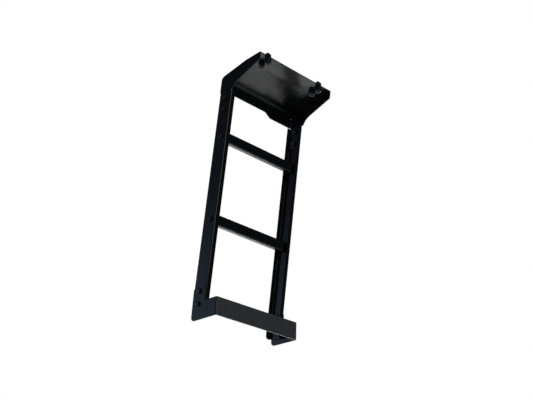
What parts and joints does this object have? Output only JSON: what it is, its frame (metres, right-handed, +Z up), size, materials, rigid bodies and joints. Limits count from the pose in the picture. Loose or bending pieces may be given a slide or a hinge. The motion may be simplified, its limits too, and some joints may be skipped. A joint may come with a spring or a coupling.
{
  "type": "tailgate step",
  "caption": "Bolted ladder of folded black sheet steel with two channel rails, rungs, a U-shaped foot step and a slanted hood that holds studs.",
  "frame": {"origin": "below the middle of the bounding box, level with the lowest point of the foot step", "axes": "+X across the ladder, +Y away from the climber, +Z up along the rails"},
  "size_m": [0.3178, 0.1578, 0.7957],
  "materials": {
    "powder_coat": "gloss black powder coat",
    "grip_coat": "black powder coat with a grained grip face",
    "black_steel": "black oxide"
  },
  "bodies": {
    "root": {"bolt_hood_a_left": "black_steel", "bolt_hood_a_right": "black_steel", "bolt_hood_b_left": "black_steel", "bolt_hood_b_right": "black_steel", "bolt_rung_lower_left": "black_steel", "bolt_rung_lower_right": "black_steel", "bolt_rung_upper_left": "black_steel", "bolt_rung_upper_right": "black_steel", "bolt_step_a_left": "black_steel", "bolt_step_a_right": "black_steel", "bolt_step_b_left": "black_steel", "bolt_step_b_right": "black_steel", "hood_plate": "powder_coat", "nut_hood_a_left": "black_steel", "nut_hood_a_right": "black_steel", "nut_hood_b_left": "black_steel", "nut_hood_b_right": "black_steel", "nut_low_left_front": "black_steel", "nut_low_left_rear": "black_steel", "nut_low_right_front": "black_steel", "nut_low_right_rear": "black_steel", "nut_rung_lower_left": "black_steel", "nut_rung_lower_right": "black_steel", "nut_rung_upper_left": "black_steel", "nut_rung_upper_right": "black_steel", "nut_step_a_left": "black_steel", "nut_step_a_right": "black_steel", "nut_step_b_left": "black_steel", "nut_step_b_right": "black_steel", "nut_top_left_front": "black_steel", "nut_top_left_rear": "black_steel", "nut_top_right_front": "black_steel", "nut_top_right_rear": "black_steel", "rung_lower": "grip_coat", "rung_upper": "grip_coat", "side_plate_left": "powder_coat", "side_plate_right": "powder_coat", "step_bracket": "grip_coat", "stud_left_front": "black_steel", "stud_left_rear": "black_steel", "stud_right_front": "black_steel", "stud_right_rear": "black_steel", "washer_low_left_front": "black_steel", "washer_low_left_rear": "black_steel", "washer_low_right_front": "black_steel", "washer_low_right_rear": "black_steel", "washer_top_left_front": "black_steel", "washer_top_left_rear": "black_steel", "washer_top_right_front": "black_steel", "washer_top_right_rear": "black_steel"}
  },
  "joints": []
}
